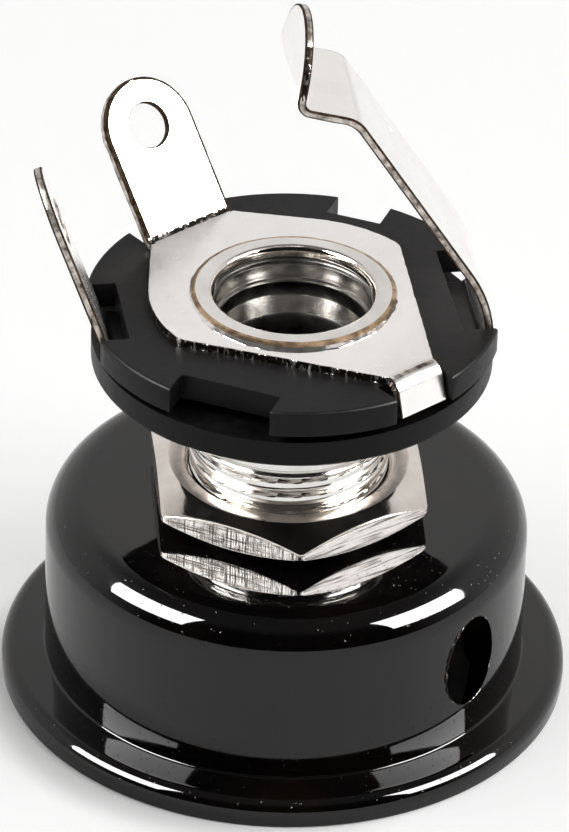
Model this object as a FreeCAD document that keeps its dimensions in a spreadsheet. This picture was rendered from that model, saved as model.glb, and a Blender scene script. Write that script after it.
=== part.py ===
import FreeCAD, Part
import math
import os
import Sketcher

# Cup jack plate standing on its flange, all sizes in millimetres.
# Origin at the middle of the flange's front face, +Z along the jack towards its terminals.

doc = FreeCAD.newDocument("CupJackPlate")

# Driving dimensions
DIMENSIONS = {
    # cup: pressed over the side hole of the guitar, mouth downwards
    "flange_ledge": 2.1,
    "flange_thickness": 1.33,
    "flange_edge_chamfer": 0.55,
    "cup_radius": 11.6,
    "cup_height": 9.92,
    "cup_edge_round": 1.9,
    "cup_wall": 1.6,
    "cup_back": 1.6,
    "cup_floor_chamfer": 0.5,
    "mouth_chamfer": 0.5,
    "screw_hole_count": 2,
    "screw_hole_radius": 1.7,
    "screw_head_radius": 2.4,
    "screw_head_depth": 2.15,
    "screw_hole_height": 5.5,
    "screw_hole_tilt": 45,
    "screw_hole_heading": -39.7,
    # threaded barrel, 3/8 inch thread, with the quarter-inch plug bore
    "thread_radius": 4.7625,
    "thread_fit": 0.04,
    "thread_chamfer": 0.4,
    "barrel_overhang": 0.6,
    "plug_bore_radius": 3.2,
    "bore_chamfer": 0.5,
    "neck_radius": 4.3,
    "neck_fit": 0.03,
    "rear_bore_radius": 3.75,
    "rear_bore_depth": 2.7,
    "rear_bore_taper": 0.8,
    "ring_line_depth": 1.8,
    "ring_line_step": 0.1,
    "lip_radius": 4.9,
    "lip_height": 0.3,
    "lip_outer_chamfer": 0.18,
    "lip_inner_chamfer": 0.12,
    # nuts and washer
    "nut_across_flats": 12.7,
    "nut_turn": 5.8,
    "rear_nut_thickness": 2.03,
    "front_nut_thickness": 2.03,
    "nut_chamfer_angle": 28,
    "nut_face_radius": 5.7,
    "nut_bore_chamfer": 0.3,
    "washer_radius": 6.6,
    "washer_thickness": 0.5,
    "washer_fit": 0.12,
    # insulator stack
    "stack_height": 17.45,
    "insulator_step": 0.3,
    "base_insulator_thickness": 1.45,
    "base_insulator_chamfer": 0.25,
    "collar_radius": 5.4,
    "collar_fit": 0.1,
    "contact_gap": 0.05,
    "sheet": 0.4,
    "top_insulator_radius": 9.8,
    "top_insulator_thickness": 1.3,
    "top_insulator_chamfer": 0.1,
    "notch_turn": 10,
    "notch_step": 60,
    "arm_notch_depth": 2.34,
    "arm_side_gap": 0.4,
    "lug_notch_depth": 1.7,
    "lug_side_gap": 0.15,
    "small_notch_width": 2.7,
    "tab_notch_depth": 1.6,
    "tab_side_gap": 0.25,
    # tip contact: ring between the insulators, solder lug, and the spring arm's root
    "tip_ring_radius": 7.0,
    "tip_lug_turn": -170,
    "tip_lug_width": 4.6,
    "tip_lug_lean": 19.2,
    "tip_lug_length": 9.35,
    "lug_floor_gap": 0.4,
    "strip_bend": 0.35,
    "eyelet_radius": 1.1,
    "tip_eyelet_inset": 2.8,
    # spring arm, from its root in the notch to the round leaf that meets the plug's tip
    "arm_turn": 8,
    "arm_width": 6.3,
    "arm_floor_gap": 0.89,
    "arm_root_rise": 0.1,
    "arm_joint_gap": 0.02,
    "arm_root_bend": 6.8,
    "arm_slope": 33,
    "arm_slope_length": 9.7,
    "arm_knee_bend": 1.6,
    "arm_knee_angle": 42.5,
    "arm_seat_length": 1.65,
    "arm_fold_bend": 0.4,
    "arm_fold_angle": 86.5,
    "arm_leaf_length": 2.95,
    # sleeve terminal: plate under the lip, solder lug, and a tab bent down into its notch
    "sleeve_turn": 131.4,
    "sleeve_radius": 6.85,
    "sleeve_shoulder_angle": 50,
    "sleeve_corner_angle": 88.5,
    "sleeve_corner_round": 0.8,
    "sleeve_lug_width": 5.1,
    "sleeve_lug_reach": 7.5,
    "sleeve_lug_lean": 37,
    "sleeve_lug_length": 7.35,
    "sleeve_eyelet_inset": 2.35,
    "tab_width": 2.8,
    "tab_floor_gap": 0.15,
    "tab_angle": 76,
    "tab_length": 1.2,
}

# Places that follow from the driving dimensions
DERIVED = {
    "flange_radius": "=cup_radius + flange_ledge",
    "cup_bore_radius": "=thread_radius + washer_fit",
    "cup_inner_radius": "=cup_radius - cup_wall",
    "cup_floor": "=cup_height - cup_back",
    "washer_bottom": "=cup_floor - washer_thickness",
    "front_nut_bottom": "=washer_bottom - front_nut_thickness",
    "barrel_front": "=front_nut_bottom - barrel_overhang",
    "nut_bore_radius": "=thread_radius + thread_fit",
    "base_top": "=stack_height + base_insulator_thickness",
    "ring_bottom": "=base_top + contact_gap",
    "ring_top": "=ring_bottom + sheet",
    "top_insulator_bottom": "=ring_top + contact_gap",
    "top_insulator_top": "=top_insulator_bottom + top_insulator_thickness",
    "sleeve_top": "=top_insulator_top + sheet",
    "lip_top": "=sleeve_top + lip_height",
    "neck_hole_radius": "=neck_radius + neck_fit",
    "base_insulator_radius": "=top_insulator_radius - insulator_step",
    "arm_notch_floor": "=top_insulator_radius - arm_notch_depth",
    "arm_notch_width": "=arm_width + 2 * arm_side_gap",
    "arm_reach": "=arm_notch_floor + arm_floor_gap",
    "lug_notch_floor": "=top_insulator_radius - lug_notch_depth",
    "lug_notch_width": "=tip_lug_width + 2 * lug_side_gap",
    "tip_lug_reach": "=lug_notch_floor + lug_floor_gap",
    "tab_notch_floor": "=top_insulator_radius - tab_notch_depth",
    "tab_notch_width": "=tab_width + 2 * tab_side_gap",
    "tab_reach": "=tab_notch_floor + tab_floor_gap",
    "ring_hole_radius": "=collar_radius + collar_fit",
    "strip_outer_bend": "=strip_bend + sheet",
    "arm_outer_face": "=arm_reach + strip_outer_bend",
    "arm_joint_height": "=ring_bottom + strip_outer_bend + arm_root_rise",
    "arm_flat_length": "=arm_slope_length + arm_seat_length + arm_leaf_length",
    "arm_outline_length": "=arm_flat_length + arm_root_bend + arm_knee_bend + arm_width",
}

sizes = doc.addObject("Spreadsheet::Sheet", "Sizes")


def fill_sheet():
    row = 0
    for group in (DIMENSIONS, DERIVED):
        for name, content in group.items():
            row += 1
            sizes.set("A%d" % row, name)
            sizes.set("B%d" % row, str(content))
            sizes.setAlias("B%d" % row, name)
    doc.recompute()


fill_sheet()


def size(name):
    return float(getattr(sizes, name))


def number(owner, formula):
    result = owner.evalExpression(formula)
    return result.Value if hasattr(result, "Value") else float(result)


def plane(body, role):
    return [item for item in body.Origin.OriginFeatures if item.Role == role][0]


def new_body(label, turn=None):
    body = doc.addObject("PartDesign::Body", label)
    body.Label = label
    if turn:
        body.Placement = FreeCAD.Placement(FreeCAD.Vector(), FreeCAD.Rotation(FreeCAD.Vector(0, 0, 1), size(turn)))
        body.setExpression("Placement.Rotation.Angle", "Sizes.%s * 1 deg" % turn)
    return body


def new_sketch(body, name, role):
    sketch = body.newObject("Sketcher::SketchObject", name)
    sketch.AttachmentSupport = (plane(body, role), "")
    sketch.MapMode = "FlatFace"
    return sketch


def new_feature(body, kind, name, sketch):
    feature = body.newObject("PartDesign::" + kind, name)
    feature.Profile = (sketch, [""])
    sketch.Visibility = False
    return feature


def bind(sketch, constraint, formula):
    index = sketch.addConstraint(constraint)
    sketch.setExpression("Constraints[%d]" % index, formula)


def hold_point(sketch, edge, end, across, along):
    # a coordinate of zero is kept on the axis, any other is a distance from the origin
    for kind, formula, axis in (("DistanceX", across, -2), ("DistanceY", along, -1)):
        amount = number(sketch, formula)
        if abs(amount) < 1e-9:
            sketch.addConstraint(Sketcher.Constraint("PointOnObject", edge, end, axis))
        else:
            bind(sketch, Sketcher.Constraint(kind, -1, 1, edge, end, amount), formula)


def outline(sketch, corners):
    # closed outline of straight edges, each corner given by two formulas
    points = [FreeCAD.Vector(number(sketch, x), number(sketch, y), 0) for x, y in corners]
    count = len(points)
    first = None
    for i in range(count):
        edge = sketch.addGeometry(Part.LineSegment(points[i], points[(i + 1) % count]), False)
        first = edge if first is None else first
    for i in range(count):
        sketch.addConstraint(Sketcher.Constraint("Coincident", first + i, 2, first + (i + 1) % count, 1))
    for i, (x, y) in enumerate(corners):
        hold_point(sketch, first + i, 1, x, y)


def circle(sketch, x, y, radius):
    centre = FreeCAD.Vector(number(sketch, x), number(sketch, y), 0)
    edge = sketch.addGeometry(Part.Circle(centre, FreeCAD.Vector(0, 0, 1), number(sketch, radius)), False)
    hold_point(sketch, edge, 3, x, y)
    bind(sketch, Sketcher.Constraint("Radius", edge, number(sketch, radius)), radius)


def turned(body, name, corners, groove=False):
    # ring profile in the upright plane, turned round the body's Z axis
    sketch = new_sketch(body, name + "_profile", "XZ_Plane")
    outline(sketch, corners)
    feature = new_feature(body, "Groove" if groove else "Revolution", name, sketch)
    feature.ReferenceAxis = (sketch, ["V_Axis"])
    feature.Angle = 360
    doc.recompute()
    return feature


def edges(body, test):
    return ["Edge%d" % (i + 1) for i, edge in enumerate(body.Tip.Shape.Edges) if test(edge)]


def ring_edge(radius, height):
    # test for a full or part circle round the Z axis at this radius and height
    def test(edge):
        curve = edge.Curve
        if not isinstance(curve, Part.Circle):
            return False
        centre = curve.Center
        on_axis = math.hypot(centre.x, centre.y) < 1e-4
        return on_axis and abs(curve.Radius - radius) < 1e-4 and abs(centre.z - height) < 1e-4
    return test


def soften(body, kind, name, chosen, amount):
    # fillet or chamfer of the chosen edges, its size bound to the sheet
    base = body.Tip
    feature = body.newObject("PartDesign::" + kind, name)
    feature.Base = (base, chosen)
    field = "Radius" if kind == "Fillet" else "Size"
    setattr(feature, field, size(amount))
    feature.setExpression(field, "Sizes." + amount)
    body.Tip = feature
    doc.recompute()
    return feature


# Cup with its flange, and two slanted holes for the screws that hold it in the wood
def jack_cup():
    body = new_body("jack_cup", "screw_hole_heading")
    turned(body, "Cup", [
        ("Sizes.cup_inner_radius", "0"),
        ("Sizes.flange_radius", "0"),
        ("Sizes.flange_radius", "Sizes.flange_thickness"),
        ("Sizes.cup_radius", "Sizes.flange_thickness"),
        ("Sizes.cup_radius", "Sizes.cup_height"),
        ("Sizes.cup_bore_radius", "Sizes.cup_height"),
        ("Sizes.cup_bore_radius", "Sizes.cup_floor"),
        ("Sizes.cup_inner_radius", "Sizes.cup_floor"),
    ])
    soften(body, "Fillet", "BackEdge", edges(body, ring_edge(size("cup_radius"), size("cup_height"))),
           "cup_edge_round")
    soften(body, "Chamfer", "FlangeEdge", edges(body, ring_edge(size("flange_radius"), size("flange_thickness"))),
           "flange_edge_chamfer")
    soften(body, "Chamfer", "Mouth", edges(body, ring_edge(size("cup_inner_radius"), 0)), "mouth_chamfer")
    soften(body, "Chamfer", "FloorCorner", edges(body, ring_edge(size("cup_inner_radius"), size("cup_floor"))),
           "cup_floor_chamfer")
    screw_holes(body)
    return body


def screw_holes(body):
    # stepped profile turned round a slanted line: shank hole through the wall, seat for the head inside
    sketch = new_sketch(body, "ScrewHole_profile", "XZ_Plane")
    tilt = math.radians(size("screw_hole_tilt"))
    inward = FreeCAD.Vector(-math.cos(tilt), -math.sin(tilt), 0)
    aside = FreeCAD.Vector(-math.sin(tilt), math.cos(tilt), 0)
    crossing = FreeCAD.Vector(size("cup_radius"), size("screw_hole_height"), 0)
    overshoot = 2 * size("screw_hole_radius") + size("cup_wall")
    shank = size("screw_hole_radius")
    head = size("screw_head_radius")
    start = crossing - inward * overshoot
    seat = crossing + inward * size("screw_head_depth")
    seat_end = seat + inward * (head - shank)
    end = seat + inward * (2 * head + size("cup_wall"))
    corners = [start, end, end + aside * head, seat_end + aside * head, seat + aside * shank, start + aside * shank]
    count = len(corners)
    for i in range(count):
        sketch.addGeometry(Part.LineSegment(corners[i], corners[(i + 1) % count]), False)
    for i in range(count):
        sketch.addConstraint(Sketcher.Constraint("Coincident", i, 2, (i + 1) % count, 1))
    for i in range(count):
        sketch.addConstraint(Sketcher.Constraint("Block", i))
    groove = new_feature(body, "Groove", "ScrewHole", sketch)
    groove.ReferenceAxis = (sketch, ["Edge1"])
    groove.Angle = 360
    doc.recompute()
    pattern = body.newObject("PartDesign::PolarPattern", "ScrewHoles")
    pattern.Originals = [groove]
    pattern.Axis = (plane(body, "Z_Axis"), [""])
    pattern.Angle = 360
    pattern.Occurrences = int(size("screw_hole_count"))
    pattern.setExpression("Occurrences", "Sizes.screw_hole_count")
    body.Tip = pattern


# Threaded barrel: plug bore, shoulder under the stack, neck through it, and the rolled lip that holds it
def barrel():
    body = new_body("barrel")
    turned(body, "Barrel", [
        ("Sizes.plug_bore_radius", "Sizes.barrel_front"),
        ("Sizes.thread_radius", "Sizes.barrel_front"),
        ("Sizes.thread_radius", "Sizes.stack_height"),
        ("Sizes.neck_radius", "Sizes.stack_height"),
        ("Sizes.neck_radius", "Sizes.sleeve_top"),
        ("Sizes.lip_radius", "Sizes.sleeve_top"),
        ("Sizes.lip_radius", "Sizes.lip_top"),
        ("Sizes.rear_bore_radius", "Sizes.lip_top"),
        ("Sizes.rear_bore_radius", "Sizes.lip_top - Sizes.ring_line_depth"),
        ("Sizes.rear_bore_radius - Sizes.ring_line_step", "Sizes.lip_top - Sizes.ring_line_depth"),
        ("Sizes.rear_bore_radius - Sizes.ring_line_step", "Sizes.lip_top - Sizes.rear_bore_depth"),
        ("Sizes.plug_bore_radius", "Sizes.lip_top - Sizes.rear_bore_depth - Sizes.rear_bore_taper"),
    ])
    soften(body, "Chamfer", "LipOutside", edges(body, ring_edge(size("lip_radius"), size("lip_top"))),
           "lip_outer_chamfer")
    soften(body, "Chamfer", "LipInside", edges(body, ring_edge(size("rear_bore_radius"), size("lip_top"))),
           "lip_inner_chamfer")
    soften(body, "Chamfer", "ThreadStart", edges(body, ring_edge(size("thread_radius"), size("barrel_front"))),
           "thread_chamfer")
    soften(body, "Chamfer", "BoreMouth", edges(body, ring_edge(size("plug_bore_radius"), size("barrel_front"))),
           "bore_chamfer")
    return body


# Hexagon nut with both faces turned down to a flat ring
def nut(label, bottom, thickness):
    body = new_body(label)
    sketch = new_sketch(body, label + "_hexagon", "XY_Plane")
    flat = size("nut_across_flats") / 2
    corner = flat / math.cos(math.pi / 6)
    points = [FreeCAD.Vector(corner * math.cos(math.pi / 6 + i * math.pi / 3),
                             corner * math.sin(math.pi / 6 + i * math.pi / 3), 0) for i in range(6)]
    for i in range(6):
        sketch.addGeometry(Part.LineSegment(points[i], points[(i + 1) % 6]), False)
    ring = sketch.addGeometry(Part.Circle(FreeCAD.Vector(), FreeCAD.Vector(0, 0, 1), corner), True)
    sketch.addConstraint(Sketcher.Constraint("Coincident", ring, 3, -1, 1))
    for i in range(6):
        sketch.addConstraint(Sketcher.Constraint("Coincident", i, 2, (i + 1) % 6, 1))
        sketch.addConstraint(Sketcher.Constraint("PointOnObject", i, 1, ring))
    for i in range(5):
        sketch.addConstraint(Sketcher.Constraint("Equal", i, i + 1))
    sketch.addConstraint(Sketcher.Constraint("Vertical", 5))
    bind(sketch, Sketcher.Constraint("DistanceX", -1, 1, 5, 1, flat), "Sizes.nut_across_flats / 2")
    circle(sketch, "0", "0", "Sizes.nut_bore_radius")
    pad = new_feature(body, "Pad", label + "_blank", sketch)
    pad.Length = size(thickness)
    pad.setExpression("Length", "Sizes." + thickness)
    doc.recompute()
    reach = "Sizes.nut_across_flats"
    past = "Sizes.nut_face_radius"
    drop = "(Sizes.nut_across_flats - Sizes.nut_face_radius) * tan(Sizes.nut_chamfer_angle * 1 deg)"
    top = "Sizes." + thickness
    turned(body, label + "_rear_face", [
        ("Sizes.nut_face_radius", top),
        (reach, top + " - " + drop),
        (reach, top + " + " + past),
        ("Sizes.nut_face_radius", top + " + " + past),
    ], groove=True)
    turned(body, label + "_front_face", [
        ("Sizes.nut_face_radius", "0"),
        (reach, drop),
        (reach, "-" + past),
        ("Sizes.nut_face_radius", "-" + past),
    ], groove=True)
    mouths = edges(body, ring_edge(size("nut_bore_radius"), 0))
    mouths += edges(body, ring_edge(size("nut_bore_radius"), size(thickness)))
    soften(body, "Chamfer", label + "_bore", mouths, "nut_bore_chamfer")
    body.Placement = FreeCAD.Placement(FreeCAD.Vector(0, 0, size(bottom)),
                                       FreeCAD.Rotation(FreeCAD.Vector(0, 0, 1), size("nut_turn")))
    body.setExpression("Placement.Base.z", "Sizes." + bottom)
    body.setExpression("Placement.Rotation.Angle", "Sizes.nut_turn * 1 deg")
    return body


# Plain washer between the front nut and the cup's floor
def front_washer():
    body = new_body("front_washer")
    turned(body, "Washer", [
        ("Sizes.cup_bore_radius", "Sizes.washer_bottom"),
        ("Sizes.washer_radius", "Sizes.washer_bottom"),
        ("Sizes.washer_radius", "Sizes.cup_floor"),
        ("Sizes.cup_bore_radius", "Sizes.cup_floor"),
    ])
    return body


# Lower insulator: disc with a collar that keeps the tip contact off the barrel
def base_insulator():
    body = new_body("base_insulator")
    turned(body, "BaseDisc", [
        ("Sizes.neck_hole_radius", "Sizes.stack_height"),
        ("Sizes.base_insulator_radius", "Sizes.stack_height"),
        ("Sizes.base_insulator_radius", "Sizes.base_top"),
        ("Sizes.collar_radius", "Sizes.base_top"),
        ("Sizes.collar_radius", "Sizes.top_insulator_bottom"),
        ("Sizes.neck_hole_radius", "Sizes.top_insulator_bottom"),
    ])
    soften(body, "Chamfer", "BaseDiscEdge",
           edges(body, ring_edge(size("base_insulator_radius"), size("stack_height"))), "base_insulator_chamfer")
    return body


# Upper insulator: disc with six notches round its edge, each with a straight floor
def top_insulator():
    body = new_body("top_insulator", "notch_turn")
    turned(body, "TopDisc", [
        ("Sizes.neck_hole_radius", "Sizes.top_insulator_bottom"),
        ("Sizes.top_insulator_radius", "Sizes.top_insulator_bottom"),
        ("Sizes.top_insulator_radius", "Sizes.top_insulator_top"),
        ("Sizes.neck_hole_radius", "Sizes.top_insulator_top"),
    ])
    soften(body, "Chamfer", "TopDiscEdge",
           edges(body, ring_edge(size("top_insulator_radius"), size("top_insulator_top"))), "top_insulator_chamfer")
    notches = [
        ("arm_notch_width", "arm_notch_floor"),
        ("small_notch_width", "lug_notch_floor"),
        ("lug_notch_width", "lug_notch_floor"),
        ("lug_notch_width", "lug_notch_floor"),
        ("lug_notch_width", "lug_notch_floor"),
        ("tab_notch_width", "tab_notch_floor"),
    ]
    for i, (width, floor) in enumerate(notches):
        edge_notch(body, "Notch%d" % (i + 1), i, width, floor)
    return body


def edge_notch(body, name, position, width, floor):
    # square notch cut in from the rim, its floor at right angles to its own radius
    sketch = new_sketch(body, name + "_outline", "XY_Plane")
    angle = "%d * Sizes.notch_step * 1 deg" % position
    half = "Sizes.%s / 2" % width
    outside = "(Sizes.top_insulator_radius + Sizes.arm_notch_depth)"
    corners = []
    for along, sign in (("Sizes." + floor, "-"), (outside, "-"), (outside, "+"), ("Sizes." + floor, "+")):
        opposite = "+" if sign == "-" else "-"
        x = "%s * cos(%s) %s %s * sin(%s)" % (along, angle, opposite, half, angle)
        y = "%s * sin(%s) %s %s * cos(%s)" % (along, angle, sign, half, angle)
        corners.append((x, y))
    outline(sketch, corners)
    pocket = new_feature(body, "Pocket", name, sketch)
    pocket.Type = "ThroughAll"
    pocket.Midplane = True
    doc.recompute()


# Bent strips, drawn along +X: a path in the upright plane, given the sheet's thickness, then its width,
# and turned at the end about the Z axis to the strip's own heading

UPRIGHT = FreeCAD.Placement(FreeCAD.Vector(), FreeCAD.Rotation(FreeCAD.Vector(1, 0, 0), 90))

# how far the cutting tools stand through a strip, in widths and in sheet thicknesses
TONGUE_DEPTH = 6
EYELET_REACH = 4

# side of a path that the sheet's thickness goes to, seen along the path
LEFT = 1
RIGHT = -1


def strip_path(name, start, heading, moves):
    # runs and tangent bends from a start point, the first heading in degrees from outward, upwards positive
    sketch = doc.addObject("Sketcher::SketchObject", name)
    sketch.Placement = UPRIGHT
    place = FreeCAD.Vector(number(sketch, start[0]), number(sketch, start[1]), 0)
    angle = math.radians(heading)
    turns = [str(heading)]
    previous = None
    for kind, first, second in moves:
        if kind == "run":
            length = number(sketch, first)
            ahead = FreeCAD.Vector(math.cos(angle), math.sin(angle), 0) * length
            edge = sketch.addGeometry(Part.LineSegment(place, place + ahead), False)
            bind(sketch, Sketcher.Constraint("Distance", edge, 1, edge, 2, length), first)
            if abs(math.sin(angle)) < 1e-9:
                sketch.addConstraint(Sketcher.Constraint("Horizontal", edge))
            elif abs(math.cos(angle)) < 1e-9:
                sketch.addConstraint(Sketcher.Constraint("Vertical", edge))
            else:
                bind(sketch, Sketcher.Constraint("Angle", edge, angle), "(%s) * 1 deg" % " + ".join(turns))
            ends = (1, 2)
            place = place + ahead
        else:
            radius = number(sketch, first)
            bend = math.radians(number(sketch, second))
            side = math.copysign(1, bend)
            to_centre = FreeCAD.Vector(-math.sin(angle), math.cos(angle), 0) * (radius * side)
            centre = place + to_centre
            begin = math.atan2(-to_centre.y, -to_centre.x)
            finish = begin + bend
            ring = Part.Circle(centre, FreeCAD.Vector(0, 0, 1), radius)
            edge = sketch.addGeometry(Part.ArcOfCircle(ring, min(begin, finish), max(begin, finish)), False)
            bind(sketch, Sketcher.Constraint("Radius", edge, radius), first)
            ends = (1, 2) if bend > 0 else (2, 1)
            angle += bend
            turns.append("(" + second + ")")
            place = centre + FreeCAD.Vector(math.cos(finish), math.sin(finish), 0) * radius
        if previous is None:
            hold_point(sketch, edge, ends[0], start[0], start[1])
        else:
            sketch.addConstraint(Sketcher.Constraint("Tangent", previous[0], previous[1], edge, ends[0]))
        previous = (edge, ends[1])
    doc.recompute()
    return sketch, UPRIGHT.multVec(place)


def strip(name, path, side, width):
    # the path thickened to one side and extruded evenly about its plane
    profile = doc.addObject("Part::Offset2D", name + "_profile")
    profile.Source = path
    profile.Mode = "Skin"
    profile.Fill = True
    profile.Value = side * size("sheet")
    profile.setExpression("Value", "%d * Sizes.sheet" % side)
    extrusion = doc.addObject("Part::Extrusion", name)
    extrusion.Base = profile
    extrusion.DirMode = "Normal"
    extrusion.Solid = True
    extrusion.Symmetric = True
    extrusion.LengthFwd = size(width)
    extrusion.setExpression("LengthFwd", "Sizes." + width)
    doc.recompute()
    return extrusion


def strip_direction(lean):
    # direction of a strip that leans out from upright
    return FreeCAD.Vector(math.sin(lean), 0, math.cos(lean))


def round_end(name, blank, lean, tip, width, length):
    # the strip cut to a half-round end, by a tongue that stands through it at right angles
    sketch = doc.addObject("Sketcher::SketchObject", name + "_outline")
    half = size(width) / 2
    reach = size(length)
    foot_left = FreeCAD.Vector(-half, -reach, 0)
    foot_right = FreeCAD.Vector(half, -reach, 0)
    ring = Part.Circle(FreeCAD.Vector(), FreeCAD.Vector(0, 0, 1), half)
    left = sketch.addGeometry(Part.LineSegment(foot_left, FreeCAD.Vector(-half, 0, 0)), False)
    crown = sketch.addGeometry(Part.ArcOfCircle(ring, 0, math.pi), False)
    right = sketch.addGeometry(Part.LineSegment(FreeCAD.Vector(half, 0, 0), foot_right), False)
    foot = sketch.addGeometry(Part.LineSegment(foot_right, foot_left), False)
    sketch.addConstraint(Sketcher.Constraint("Coincident", crown, 3, -1, 1))
    sketch.addConstraint(Sketcher.Constraint("Tangent", left, 2, crown, 2))
    sketch.addConstraint(Sketcher.Constraint("Tangent", crown, 1, right, 1))
    sketch.addConstraint(Sketcher.Constraint("Coincident", right, 2, foot, 1))
    sketch.addConstraint(Sketcher.Constraint("Coincident", foot, 2, left, 1))
    sketch.addConstraint(Sketcher.Constraint("Vertical", left))
    sketch.addConstraint(Sketcher.Constraint("Horizontal", foot))
    bind(sketch, Sketcher.Constraint("Radius", crown, half), "Sizes.%s / 2" % width)
    bind(sketch, Sketcher.Constraint("DistanceY", left, 1, left, 2, reach), "Sizes." + length)
    along = strip_direction(lean)
    across = FreeCAD.Vector(0, 1, 0)
    stand = FreeCAD.Rotation(across, along, across.cross(along), "XYZ")
    sketch.Placement = FreeCAD.Placement(tip - along * half, stand)
    block = doc.addObject("Part::Extrusion", name + "_tongue")
    block.Base = sketch
    block.DirMode = "Normal"
    block.Solid = True
    block.Symmetric = True
    block.LengthFwd = TONGUE_DEPTH * size(width)
    block.setExpression("LengthFwd", "%d * Sizes.%s" % (TONGUE_DEPTH, width))
    doc.recompute()
    result = doc.addObject("Part::Common", name)
    result.Base = blank
    result.Tool = block
    doc.recompute()
    return result


def eyelet(name, lug, lean, tip, inset):
    # hole square through a lug, its middle this far back from the tip
    along = strip_direction(lean)
    drill = strip_direction(lean + math.pi / 2)
    tool = cylinder(name + "_drill", "Sizes.eyelet_radius", "%d * Sizes.sheet" % (2 * EYELET_REACH), 0)
    middle = tip - along * size(inset)
    tool.Placement = FreeCAD.Placement(middle - drill * (EYELET_REACH * size("sheet")),
                                       FreeCAD.Rotation(FreeCAD.Vector(0, 0, 1), drill))
    doc.recompute()
    return cut(name, lug, tool)


def turn_to(item, heading):
    # a finished strip turned about the Z axis to its heading
    angle = number(item, heading)
    item.Placement = FreeCAD.Placement(FreeCAD.Vector(), FreeCAD.Rotation(FreeCAD.Vector(0, 0, 1), angle))
    item.setExpression("Placement.Rotation.Angle", "(%s) * 1 deg" % heading)
    doc.recompute()
    return item


def fuse(name, pieces):
    result = doc.addObject("Part::MultiFuse", name)
    result.Shapes = pieces
    result.Refine = True
    doc.recompute()
    return result


def cut(name, base, tool):
    result = doc.addObject("Part::Cut", name)
    result.Base = base
    result.Tool = tool
    doc.recompute()
    return result


def cylinder(name, radius, height, bottom):
    item = doc.addObject("Part::Cylinder", name)
    item.setExpression("Radius", radius)
    item.setExpression("Height", height)
    item.Placement.Base.z = bottom
    doc.recompute()
    return item


# Tip contact: ring between the insulators, solder lug on one side, root of the spring arm on the other
def tip_contact():
    ring = cylinder("TipRing_disc", "Sizes.tip_ring_radius", "Sizes.sheet", size("ring_bottom"))
    lean = math.radians(size("tip_lug_lean"))
    start = ("Sizes.ring_hole_radius", "Sizes.ring_bottom")
    path, tip = strip_path("TipLug_path", start, 0, [
        ("run", "Sizes.tip_lug_reach - Sizes.ring_hole_radius", None),
        ("bend", "Sizes.strip_outer_bend", "90 - Sizes.tip_lug_lean"),
        ("run", "Sizes.tip_lug_length", None),
    ])
    blank = strip("TipLug_blank", path, LEFT, "tip_lug_width")
    lug = round_end("TipLug_end", blank, lean, tip, "tip_lug_width", "tip_lug_length")
    lug = turn_to(eyelet("TipLug", lug, lean, tip, "tip_eyelet_inset"), "Sizes.tip_lug_turn")
    root_path = strip_path("ArmRoot_path", start, 0, [
        ("run", "Sizes.arm_reach - Sizes.ring_hole_radius", None),
        ("bend", "Sizes.strip_outer_bend", "90"),
        ("run", "Sizes.arm_root_rise", None),
    ])[0]
    root = turn_to(strip("ArmRoot", root_path, LEFT, "arm_width"), "Sizes.arm_turn")
    blank = fuse("TipContact_blank", [ring, lug, root])
    hole = cylinder("TipRing_hole", "Sizes.ring_hole_radius", "3 * Sizes.sheet", size("ring_bottom") - size("sheet"))
    return cut("tip_contact", blank, hole)


# Spring arm: rises from its root, slopes in over the bore, and folds up into a round leaf
def tip_spring_arm():
    path, tip = strip_path("Arm_path", (
        "Sizes.arm_outer_face", "Sizes.arm_joint_height + Sizes.arm_joint_gap"), 90, [
        ("bend", "Sizes.arm_root_bend", "Sizes.arm_slope"),
        ("run", "Sizes.arm_slope_length", None),
        ("bend", "Sizes.arm_knee_bend", "Sizes.arm_knee_angle"),
        ("run", "Sizes.arm_seat_length", None),
        ("bend", "Sizes.arm_fold_bend", "0 - Sizes.arm_fold_angle"),
        ("run", "Sizes.arm_leaf_length", None),
    ])
    blank = strip("Arm_blank", path, LEFT, "arm_width")
    tilt = size("arm_slope") + size("arm_knee_angle") - size("arm_fold_angle")
    arm = round_end("tip_spring_arm", blank, math.radians(-tilt), tip, "arm_width", "arm_outline_length")
    return turn_to(arm, "Sizes.arm_turn")


# Sleeve terminal: plate held under the barrel's lip, solder lug one way, tab bent down the other
def sleeve_terminal():
    plate = sleeve_plate()
    lean = math.radians(size("sleeve_lug_lean"))
    path, tip = strip_path("SleeveLug_path", ("Sizes.lip_radius", "Sizes.top_insulator_top"), 0, [
        ("run", "Sizes.sleeve_lug_reach - Sizes.lip_radius", None),
        ("bend", "Sizes.strip_outer_bend", "90 - Sizes.sleeve_lug_lean"),
        ("run", "Sizes.sleeve_lug_length", None),
    ])
    blank = strip("SleeveLug_blank", path, LEFT, "sleeve_lug_width")
    lug = round_end("SleeveLug_end", blank, lean, tip, "sleeve_lug_width", "sleeve_lug_length")
    lug = turn_to(eyelet("SleeveLug", lug, lean, tip, "sleeve_eyelet_inset"), "Sizes.sleeve_turn")
    tab_path = strip_path("Tab_path", ("Sizes.lip_radius", "Sizes.sleeve_top"), 0, [
        ("run", "Sizes.tab_reach - Sizes.lip_radius", None),
        ("bend", "Sizes.strip_outer_bend", "0 - Sizes.tab_angle"),
        ("run", "Sizes.tab_length", None),
    ])[0]
    tab = turn_to(strip("Tab", tab_path, RIGHT, "tab_width"), "Sizes.sleeve_turn - 180")
    return fuse("sleeve_terminal", [plate, lug, tab])


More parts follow.
